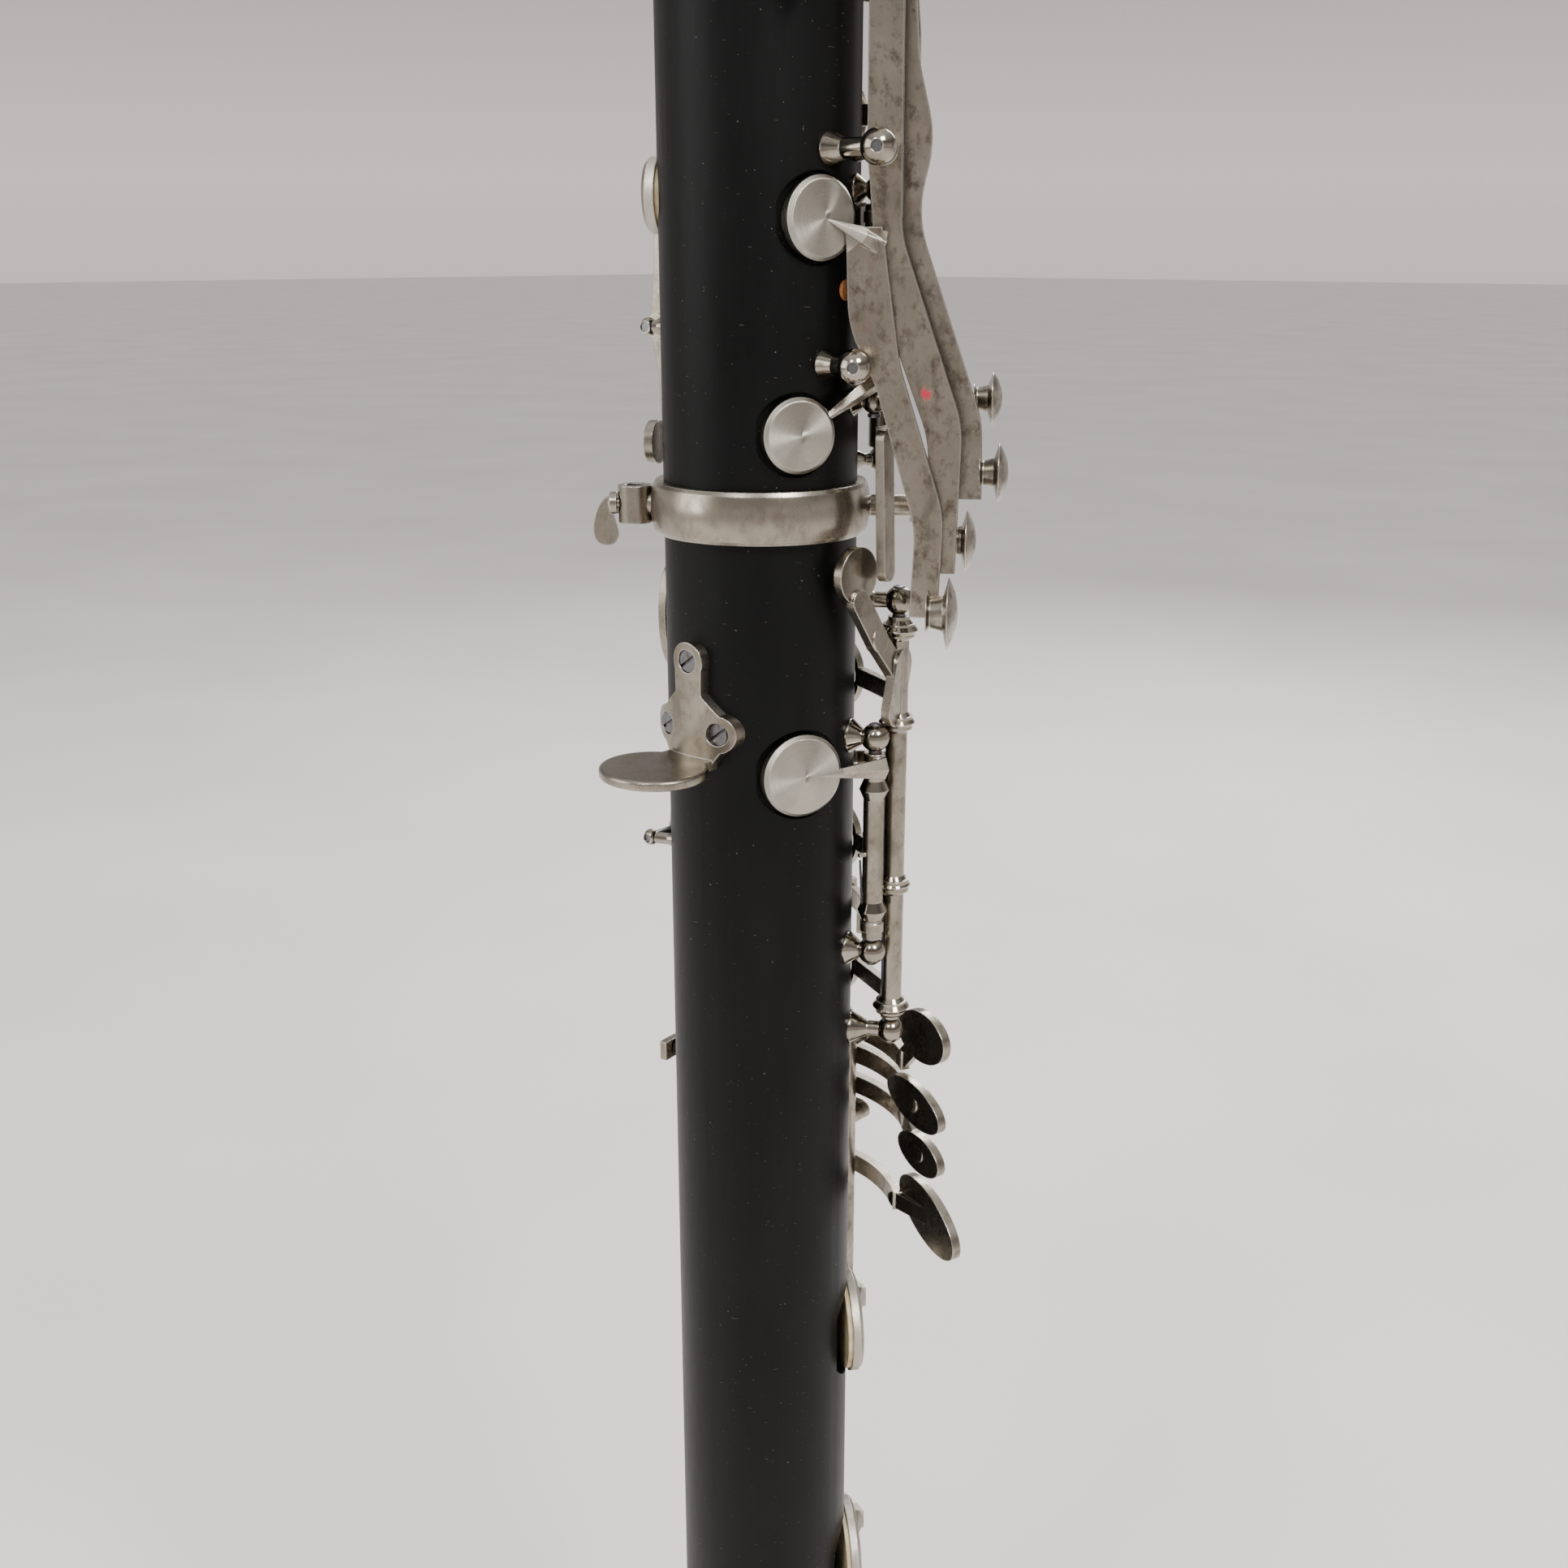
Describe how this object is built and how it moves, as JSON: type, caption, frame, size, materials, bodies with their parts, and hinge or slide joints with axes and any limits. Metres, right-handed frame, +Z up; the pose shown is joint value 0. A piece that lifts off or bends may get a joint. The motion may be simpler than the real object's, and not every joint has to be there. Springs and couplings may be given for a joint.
{
  "type": "clarinet",
  "caption": "Boehm-system clarinet with matte black joints, barrel, bell, mouthpiece and full keywork of rings, side keys, slivers, levers and little-finger keys.",
  "frame": {"origin": "centre of the bell's rim plane, on the bore axis", "axes": "+Z up the bore to the mouthpiece, -Y the finger-hole side, -X the player's right-hand side"},
  "size_m": [0.078, 0.078, 0.667],
  "materials": {
    "matte_resin": "satin moulded hard resin, brushed along the bore",
    "polished_resin": "polished hard resin",
    "nickel_silver": "nickel-silver, satin, tarnished in the hollows, bright on the edges",
    "steel": "blued and worn steel",
    "pad_skin": "cream fish-skin over felt",
    "cork": "ground natural cork, greased",
    "cane": "shaved cane"
  },
  "bodies": {
    "joints": {"bell": "matte_resin", "bell_ring": "nickel_silver", "lower_joint": "matte_resin", "upper_joint": "matte_resin", "lyre_ring": "nickel_silver", "thumb_rest": "nickel_silver", "thumb_rest_screws": "steel", "thumb_tube": "polished_resin", "tenon_corks": "cork", "upper_posts": "nickel_silver", "lower_posts": "nickel_silver", "hinge_rods": "steel"},
    "barrel": {"barrel": "matte_resin", "barrel_rings": "nickel_silver", "mouthpiece": "polished_resin", "mouthpiece_cork": "cork", "reed": "cane", "ligature": "nickel_silver"},
    "ligature_screw_lower": {"ligature_screw_lower": "nickel_silver"},
    "ligature_screw_upper": {"ligature_screw_upper": "nickel_silver"},
    "lyre_thumbscrew": {"lyre_thumbscrew": "nickel_silver"},
    "lower_ring_key": {"lower_ring_key": "nickel_silver", "lower_ring_pad": "pad_skin"},
    "middle_ring_key": {"middle_ring_key": "nickel_silver", "middle_ring_pad": "pad_skin"},
    "index_ring_key": {"index_ring_key": "nickel_silver", "index_ring_pad": "pad_skin"},
    "thumb_ring_key": {"thumb_ring_key": "nickel_silver", "thumb_ring_pad": "pad_skin"},
    "left_sliver_key": {"left_sliver_key": "nickel_silver", "left_sliver_pad": "pad_skin"},
    "right_sliver_key": {"right_sliver_key": "nickel_silver", "right_sliver_pad": "pad_skin"},
    "g_sharp_key": {"g_sharp_key": "nickel_silver", "g_sharp_pad": "pad_skin"},
    "f_sharp_key": {"f_sharp_key": "nickel_silver", "f_sharp_pad": "pad_skin"},
    "f_key": {"f_key": "nickel_silver", "f_pad": "pad_skin"},
    "e_key": {"e_key": "nickel_silver", "e_pad": "pad_skin"},
    "a_flat_key": {"a_flat_key": "nickel_silver", "a_flat_pad": "pad_skin"},
    "register_key": {"register_key": "nickel_silver", "register_pad": "pad_skin"},
    "throat_a_key": {"throat_a_key": "nickel_silver", "throat_a_pad": "pad_skin"},
    "c_sharp_key": {"c_sharp_key": "nickel_silver", "c_sharp_pad": "pad_skin"},
    "side_key_1": {"side_key_1": "nickel_silver", "side_pad_1": "pad_skin"},
    "side_key_2": {"side_key_2": "nickel_silver", "side_pad_2": "pad_skin"},
    "side_key_3": {"side_key_3": "nickel_silver", "side_pad_3": "pad_skin"},
    "side_key_4": {"side_key_4": "nickel_silver", "side_pad_4": "pad_skin"},
    "left_f_sharp_lever": {"left_f_sharp_lever": "nickel_silver"},
    "left_f_lever": {"left_f_lever": "nickel_silver"},
    "left_e_lever": {"left_e_lever": "nickel_silver"}
  },
  "joints": [
    {"name": "barrel_pull_out", "type": "slide", "parent": "joints", "child": "barrel", "axis": [0, 0, 1], "range_m": [0, 0.003]},
    {"name": "ligature_screw_lower_turn", "type": "hinge", "parent": "barrel", "child": "ligature_screw_lower", "pos_m": [0, 0.01575, 0.61], "axis": [1, 0, 0], "range_deg": [-360, 360]},
    {"name": "ligature_screw_upper_turn", "type": "hinge", "parent": "barrel", "child": "ligature_screw_upper", "pos_m": [0, 0.01575, 0.621], "axis": [1, 0, 0], "range_deg": [-360, 360]},
    {"name": "lyre_thumbscrew_turn", "type": "hinge", "parent": "joints", "child": "lyre_thumbscrew", "pos_m": [0.0133, 0.01058, 0.3336], "axis": [0.7826, 0.6225, 0], "range_deg": [-45, 45]},
    {"name": "lower_ring_key_press", "type": "hinge", "parent": "joints", "child": "lower_ring_key", "pos_m": [-0.01584, -0.01049, 0.28905], "axis": [0, 0, 1], "range_deg": [0, 5], "stiffness_Nm_per_rad": 0.01, "springref_deg": -40.11},
    {"name": "middle_ring_key_press", "type": "hinge", "parent": "joints", "child": "middle_ring_key", "pos_m": [-0.0079, -0.0155, 0.36995], "axis": [0, 0, 1], "range_deg": [0, 6.5], "stiffness_Nm_per_rad": 0.01, "springref_deg": -40.11},
    {"name": "index_ring_key_press", "type": "hinge", "parent": "joints", "child": "index_ring_key", "pos_m": [-0.0079, -0.0155, 0.417], "axis": [0, 0, 1], "range_deg": [0, 7], "stiffness_Nm_per_rad": 0.01, "springref_deg": -40.11},
    {"name": "thumb_ring_key_press", "type": "hinge", "parent": "joints", "child": "thumb_ring_key", "pos_m": [-0.01457, 0.00775, 0.413], "axis": [0, 0, -1], "range_deg": [0, 4], "stiffness_Nm_per_rad": 0.01, "springref_deg": -40.11},
    {"name": "left_sliver_key_press", "type": "hinge", "parent": "joints", "child": "left_sliver_key", "pos_m": [-0.01465, -0.00592, 0.36055], "axis": [0, 0, 1], "range_deg": [0, 5], "stiffness_Nm_per_rad": 0.01, "springref_deg": -40.11},
    {"name": "right_sliver_key_press", "type": "hinge", "parent": "joints", "child": "right_sliver_key", "pos_m": [-0.01528, -0.00649, 0.28655], "axis": [0, 0, 1], "range_deg": [0, 5], "stiffness_Nm_per_rad": 0.01, "springref_deg": -40.11},
    {"name": "g_sharp_key_press", "type": "hinge", "parent": "joints", "child": "g_sharp_key", "pos_m": [0.01047, -0.0134, 0.451], "axis": [0, 0, -1], "range_deg": [0, 6], "stiffness_Nm_per_rad": 0.01, "springref_deg": -40.11},
    {"name": "f_sharp_key_press", "type": "hinge", "parent": "joints", "child": "f_sharp_key", "pos_m": [-0.00237, -0.01683, 0.2245], "axis": [0, 0, -1], "range_deg": [0, 5.5], "stiffness_Nm_per_rad": 0.01, "springref_deg": -40.11},
    {"name": "f_key_press", "type": "hinge", "parent": "joints", "child": "f_key", "pos_m": [0.00237, -0.01683, 0.2025], "axis": [0, 0, -1], "range_deg": [0, 5.5], "stiffness_Nm_per_rad": 0.01, "springref_deg": -40.11},
    {"name": "e_key_press", "type": "hinge", "parent": "joints", "child": "e_key", "pos_m": [0.00692, -0.01553, 0.185], "axis": [0, 0, -1], "range_deg": [0, 5.5], "stiffness_Nm_per_rad": 0.01, "springref_deg": -40.11},
    {"name": "a_flat_key_press", "type": "hinge", "parent": "joints", "child": "a_flat_key", "pos_m": [0.01093, -0.01302, 0.2165], "axis": [0, 0, -1], "range_deg": [0, 5], "stiffness_Nm_per_rad": 0.01, "springref_deg": -40.11},
    {"name": "register_key_press", "type": "hinge", "parent": "joints", "child": "register_key", "pos_m": [0, 0.0159, 0.452], "axis": [-1, 0, 0], "range_deg": [0, 3], "stiffness_Nm_per_rad": 0.01, "springref_deg": -40.11},
    {"name": "throat_a_key_press", "type": "hinge", "parent": "joints", "child": "throat_a_key", "pos_m": [-0.00226, -0.01604, 0.455], "axis": [0.9903, -0.1392, 0], "range_deg": [0, 5], "stiffness_Nm_per_rad": 0.01, "springref_deg": -40.11},
    {"name": "c_sharp_key_press", "type": "hinge", "parent": "joints", "child": "c_sharp_key", "pos_m": [0.01545, 0.00217, 0.3565], "axis": [-0.1392, 0.9903, 0], "range_deg": [0, 3.5], "stiffness_Nm_per_rad": 0.01, "springref_deg": -40.11},
    {"name": "side_key_1_press", "type": "hinge", "parent": "joints", "child": "side_key_1", "pos_m": [-0.01136, -0.00766, 0.3525], "axis": [0.5592, -0.829, 0], "range_deg": [0, 5], "stiffness_Nm_per_rad": 0.01, "springref_deg": -40.11},
    {"name": "side_key_2_press", "type": "hinge", "parent": "joints", "child": "side_key_2", "pos_m": [-0.01351, -0.00911, 0.378], "axis": [0.5592, -0.829, 0], "range_deg": [0, 1.6], "stiffness_Nm_per_rad": 0.01, "springref_deg": -40.11},
    {"name": "side_key_3_press", "type": "hinge", "parent": "joints", "child": "side_key_3", "pos_m": [-0.01351, -0.00911, 0.402], "axis": [0.5592, -0.829, 0], "range_deg": [0, 2], "stiffness_Nm_per_rad": 0.01, "springref_deg": -40.11},
    {"name": "side_key_4_press", "type": "hinge", "parent": "joints", "child": "side_key_4", "pos_m": [-0.01351, -0.00911, 0.402], "axis": [0.5592, -0.829, 0], "range_deg": [0, 1.5], "stiffness_Nm_per_rad": 0.01, "springref_deg": -40.11},
    {"name": "left_f_sharp_lever_press", "type": "hinge", "parent": "joints", "child": "left_f_sharp_lever", "pos_m": [0.01226, -0.01029, 0.268], "axis": [-0.6428, -0.766, 0], "range_deg": [0, 2.09], "stiffness_Nm_per_rad": 0.002, "springref_deg": -40.11},
    {"name": "left_f_lever_press", "type": "hinge", "parent": "joints", "child": "left_f_lever", "pos_m": [0.01503, -0.00547, 0.276], "axis": [-0.342, -0.9397, 0], "range_deg": [0, 2.14], "stiffness_Nm_per_rad": 0.002, "springref_deg": -40.11},
    {"name": "left_e_lever_press", "type": "hinge", "parent": "joints", "child": "left_e_lever", "pos_m": [0.016, 0, 0.284], "axis": [0, -1, 0], "range_deg": [0, 2], "stiffness_Nm_per_rad": 0.002, "springref_deg": -40.11}
  ],
  "couplings": [
    {"joint": "middle_ring_key_press", "follows": "lower_ring_key_press", "ratio": 1.3},
    {"joint": "left_f_sharp_lever_press", "follows": "f_sharp_key_press", "ratio": 0.3708},
    {"joint": "left_f_lever_press", "follows": "f_key_press", "ratio": 0.3803},
    {"joint": "left_e_lever_press", "follows": "e_key_press", "ratio": 0.3543}
  ]
}
